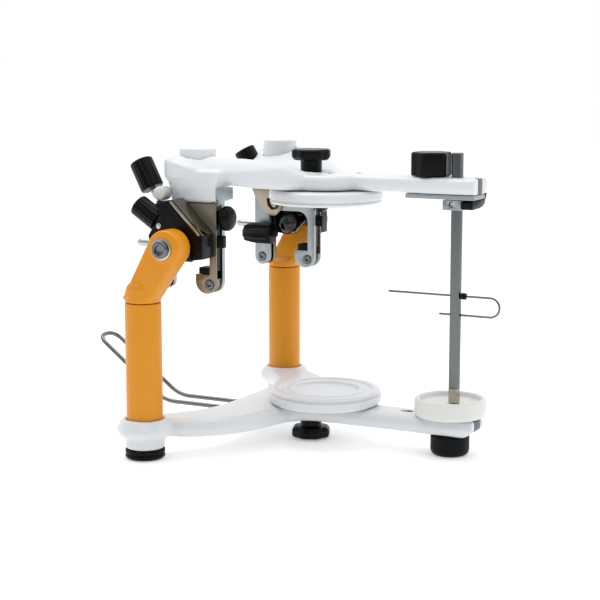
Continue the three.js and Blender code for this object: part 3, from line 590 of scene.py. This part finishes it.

# Painted shade: two near-black discs flush with the top of the upper bar, one at the foot of the plate knob's
# collar and one where the arm meets the hub, stand for the shade in the gap and at the step there.
for number, (x, y) in enumerate(((-5.8, -76.9), (3.3, -90.9))):
    shade_spot = turned(rod(1.4, 0.35, 0.1), at(x, y, 157.05), UP, 40)
    piece(shade_spot, f"bar_shade_spot_{number}", BODY_OF["upper_frame"], "black_plastic", look=DARK)


def pointer_hairpin():
    """Hairpin wire, worked out from its box: a long upper leg, a half circle and a short lower leg."""
    wire_radius, short_leg_end, arc_steps = 0.65, 35.9, 24
    low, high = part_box("pointer_wire")
    half = (high.z - low.z) / 2 - wire_radius * MM
    centre = Vector((0, low.y + wire_radius * MM + half, (high.z + low.z) / 2))
    route = [Vector((0, high.y, centre.z + half))]
    for i in range(arc_steps + 1):
        angle = math.pi / 2 + math.pi * i / arc_steps
        route.append(centre + Vector((0, math.cos(angle), math.sin(angle))) * half)
    route.append(Vector((0, low.y + short_leg_end * MM, centre.z - half)))
    stand_in("pointer_wire", tube(route, wire_radius, 16), "pointer_hairpin", look=WIRE_STEEL)


bevelled("incisal_pin", 0.25, look=PIN)
pointer_hairpin()
for node in ("pointer_collar", "clamp_plate", "clamp_block", "pin_lock_lever"):
    bevelled(node, 0.25)
bevelled("upper_bar_insert", 0.25, look=INSERT)
for side, sign in SIDES.items():
    head = fillet([(0, 0), (1.5, 0), (1.5, 1.6), (0.8, 1.6), (0.8, 0.9), (0, 0.9)], 0.2)
    piece(turned(head, at(sign * 5.5, -152.4, 142.7), (sign, 0, 0), 40), f"clamp_screw_{side}",
          BODY_OF["clamp_block"], "polished_steel")

# ---------------------------------------------------------------- joints of the jaw

STEM_RADIUS = 1.9  # steel spindles of the hand knobs


def bracket_and_guide(side):
    """The CAD nodes of one side that only need their edges rounded."""
    looks = {
        "condylar_bracket": BRACKET, "guide_box": None, "guide_strip": BRASSY, "latch_bar": None,
        "latch_pad": None, "bracket_screw_front": DARK_STEEL, "bracket_screw_rear": DARK_STEEL,
        "axle_washer": None,
    }
    for node, look in looks.items():
        made = bevelled(f"{node}_{side}", 0.35 if node in ("condylar_bracket", "guide_box") else 0.15, look)
        if node == "condylar_bracket":
            lug_back = at(0, -36.1, 0).y
            recolour(made, LOOKS["satin_steel"], lambda place: place.y < lug_back)


def grip_knob(side, name, radius, length, spindle):
    """Finely fluted black knob on a steel spindle, along its own joint axis."""
    node = f"{name}_{side}"
    base, axis = joint_line(f"{node}_turn")
    flutes = lobes(18, 0.25, low=1.2, high=length - 1.2, inner=radius - 0.4)
    stand_in(node, turned(rod(radius, length, 1.3), base, axis, 192, flutes), f"{name}_grip_{side}")
    stem = turned(rod(STEM_RADIUS, spindle + 1, 0.3), base - axis * spindle * MM, axis, 48)
    piece(stem, f"{name}_stem_{side}", BODY_OF[node], "polished_steel")


def condyle_ball(side, sign):
    """Ball with a neck towards the column and a bore for the axle."""
    node = f"condyle_ball_{side}"
    bore, bore_end, neck_radius, neck_length = 3.3, -4.3, 4.4, 2.4
    low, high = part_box(node)
    ball = (high.z - low.z) / 2 / MM
    face = (high.x - low.x) / MM - ball
    arc = [math.radians(-90 + 7 * i) for i in range(22)]
    profile = [(ball * math.cos(a), ball * math.sin(a)) for a in arc]
    profile[0] = (0, -ball)
    profile += [
        (neck_radius, face - neck_length), (neck_radius, face), (bore, face), (bore, bore_end), (0, bore_end),
    ]
    centre_x = (low.x if sign > 0 else high.x) + sign * ball * MM
    centre = Vector((centre_x, (low.y + high.y) / 2, (low.z + high.z) / 2))
    stand_in(node, turned(profile, centre, (sign, 0, 0)), f"condyle_ball_round_{side}", look=BALL_GLOSS)


def side_shift_knob(side):
    node = f"side_shift_knob_{side}"
    base, axis = joint_line(f"{node}_turn")
    profile = fillet([
        (0, -3), (STEM_RADIUS, -3), (STEM_RADIUS, 0), (5.6, 0), (6.7, 1.4), (6.7, 12.6), (5.6, 18.6),
        (4.6, 19.8), (0, 19.8),
    ], 0.9)
    grip = turned(profile, base, axis, 192, lobes(9, 1.3, low=1.6, inner=4))
    stand_in(node, grip, f"side_shift_grip_{side}")


def centric_lock_knob(side):
    node = f"centric_lock_knob_{side}"
    base, axis = joint_line(f"{node}_turn")
    profile = fillet([
        (0, 0), (3.4, 0), (3.4, 1.2), (6.2, 1.2), (7, 2.2), (7, 4.6), (5.4, 6.6), (2.6, 7.3), (0, 7.4),
    ], 1.0)
    stand_in(node, turned(profile, base, axis, 96), f"centric_lock_grip_{side}")


def shift_stop(side, sign):
    node = f"shift_stop_{side}"
    start, length, radius = extent(node, 0)
    base = start if sign > 0 else start + Vector((length * MM, 0, 0))
    stand_in(node, turned(rod(radius, length, 1.6), base, (sign, 0, 0), 64), f"shift_stop_cap_{side}")


def facebow_pin(side):
    node = f"facebow_pin_{side}"
    start, length, radius = extent(node, 1)
    profile = [(0, 0), (radius, 0), (radius, length - 3), (radius * 0.8, length - 1), (0, length)]
    stand_in(node, turned(fillet(profile, 1.0), start, (0, 1, 0), 48), f"facebow_pin_rod_{side}")


for side, sign in SIDES.items():
    bracket_and_guide(side)
    grip_knob(side, "inclination_knob", radius=6.7, length=17.6, spindle=5)
    grip_knob(side, "protrusion_knob", radius=6.2, length=16.4, spindle=0.6)
    bevelled(f"axle_screw_{side}", 0.3, look=DARK_STEEL)
    condyle_ball(side, sign)
    side_shift_knob(side)
    centric_lock_knob(side)
    shift_stop(side, sign)
    facebow_pin(side)


def path_point(u, v):
    """(y, z) at u up the 45 degree condylar path and v square to it, from the hinge axis."""
    half = math.sqrt(0.5)
    return -18.1 + (u - v) * half, 119.8 + (u + v) * half


def guide_details(side, sign):
    """Polished cover and pin end on the guide box; guide plate and spring hook inside the bracket."""
    body = BODY_OF[f"guide_box_{side}"]
    cover_ends, cover_faces = (-6.6, 20.2), (15.95, 16.35)
    cover = [
        path_point(cover_ends[0], cover_faces[0]), path_point(cover_ends[1], cover_faces[0]),
        path_point(cover_ends[1], cover_faces[1]), path_point(cover_ends[0], cover_faces[1]),
    ]
    mesh = side_plate(cover, sign * 65.8, sign * 77.2, 0.1)
    piece(mesh, f"guide_cover_{side}", body, "polished_steel", look=MIRROR)

    end = fillet([(0, 0), (1.65, 0), (1.65, 0.4), (1.1, 0.75), (0, 0.8)], 0.2)
    mesh = turned(end, at(sign * 78.2, -7, 130.6), (sign, 0, 0), 40)
    piece(mesh, f"guide_pin_end_{side}", body, "polished_steel")

    plate = [
        (7.6, 142.8), (5.4, 137), (1.6, 130.4), (-2.4, 125.6), (-6, 123.8), (-9.8, 124.4), (-13.6, 128.2),
        (-14.6, 133), (-14.6, 142.8),
    ]
    mesh = side_plate(plate, sign * 54.2, sign * 55.2)
    piece(mesh, f"guide_plate_{side}", body, "polished_steel", look=BRASSY)

    bend = [(-4.5, 134.6), (-5.2, 130.9), (-7.7, 128.5), (-10.6, 129.2), (-12, 133.1), (-14.1, 134.4)]
    mesh = tube([at(sign * 53.4, y, z) for y, z in bend], 0.65, 16)
    piece(mesh, f"spring_hook_{side}", body, "polished_steel", look=DARK)


for side, sign in SIDES.items():
    guide_details(side, sign)

# ---------------------------------------------------------------- floor, light and camera

AZIMUTH, ELEVATION = math.radians(-62.95), math.radians(8.98)
CAMERA_PLACE = (-0.80712, -0.41922, 0.22487)
FLOOR_HALF = 60.0  # metres, so that its edge is beyond the horizon
FLOOR_GLOW = 0.3


def area_light(name, place, aim, size, power, color=(1, 1, 1)):
    data = bpy.data.lights.new(name, "AREA")
    data.shape = "SQUARE"
    data.size = size
    data.energy = power
    data.color = color
    obj = bpy.data.objects.new(name, data)
    obj.location = place
    obj.rotation_mode = "QUATERNION"
    obj.rotation_quaternion = (Vector(aim) - Vector(place)).to_track_quat("-Z", "Y")
    bpy.context.scene.collection.objects.link(obj)


def white_floor():
    """Studio floor under the feet, which glows a little so that it reads as white paper."""
    mesh = bpy.data.meshes.new("floor")
    corners = [(x * FLOOR_HALF, y * FLOOR_HALF, 0) for x, y in ((-1, -1), (1, -1), (1, 1), (-1, 1))]
    mesh.from_pydata(corners, [], [(0, 1, 2, 3)])
    floor = bpy.data.objects.new("floor", mesh)
    floor.location.z = cad_box[0].z - 0.0002
    ground = material("floor", (0.9, 0.9, 0.9), 0.9, gloss=0.1, mottle=0.0, bump=0.0)
    shader = ground.node_tree.nodes["Principled BSDF"]
    shader.inputs["Emission Color"].default_value = (1, 1, 1, 1)
    shader.inputs["Emission Strength"].default_value = FLOOR_GLOW
    mesh.materials.append(ground)
    bpy.context.scene.collection.objects.link(floor)


def white_studio():
    """World that is white behind the object, and dimmer and bluer behind the camera."""
    world = bpy.data.worlds.new("studio")
    world.use_nodes = True
    nodes, links = world.node_tree.nodes, world.node_tree.links
    background = nodes["Background"]
    direction = nodes.new("ShaderNodeTexCoord")
    facing = nodes.new("ShaderNodeVectorMath")
    facing.operation = "DOT_PRODUCT"
    facing.inputs[1].default_value = (-math.sin(AZIMUTH), math.cos(AZIMUTH), 0.25)
    links.new(direction.outputs["Generated"], facing.inputs[0])
    strength = nodes.new("ShaderNodeMapRange")
    strength.inputs["From Min"].default_value = -1
    strength.inputs["From Max"].default_value = 0.4
    strength.inputs["To Min"].default_value = 0.18
    strength.inputs["To Max"].default_value = 1.02
    links.new(facing.outputs["Value"], strength.inputs["Value"])
    links.new(strength.outputs["Result"], background.inputs["Strength"])
    tint = nodes.new("ShaderNodeMix")
    tint.data_type = "RGBA"
    tint.inputs["A"].default_value = (0.8, 0.9, 1, 1)
    tint.inputs["B"].default_value = (1, 1, 1, 1)
    links.new(strength.outputs["Result"], tint.inputs["Factor"])
    links.new(tint.outputs["Result"], background.inputs["Color"])
    bpy.context.scene.world = world
    bpy.context.scene.view_settings.view_transform = "Standard"


def photo_camera():
    """The camera of the photograph, fitted to its mirrored features."""
    data = bpy.data.cameras.new("camera")
    data.sensor_width = 36
    data.lens = 93.57
    data.dof.use_dof = False
    camera = bpy.data.objects.new("camera", data)
    level = math.cos(ELEVATION)
    look = Vector((-math.sin(AZIMUTH) * level, math.cos(AZIMUTH) * level, -math.sin(ELEVATION)))
    camera.location = CAMERA_PLACE
    camera.rotation_mode = "QUATERNION"
    camera.rotation_quaternion = look.to_track_quat("-Z", "Y")
    bpy.context.scene.collection.objects.link(camera)
    bpy.context.scene.camera = camera


white_floor()
white_studio()

centre = (cad_box[0] + cad_box[1]) / 2
area_light("key", (-0.75, -0.5, 0.95), centre, size=0.7, power=2.3)
area_light("fill", (0.3, -1.0, 0.55), centre, size=0.8, power=1.2, color=(0.95, 0.97, 1))
area_light("top", (0.1, 0.2, 1.1), centre, size=0.9, power=5.2)

photo_camera()
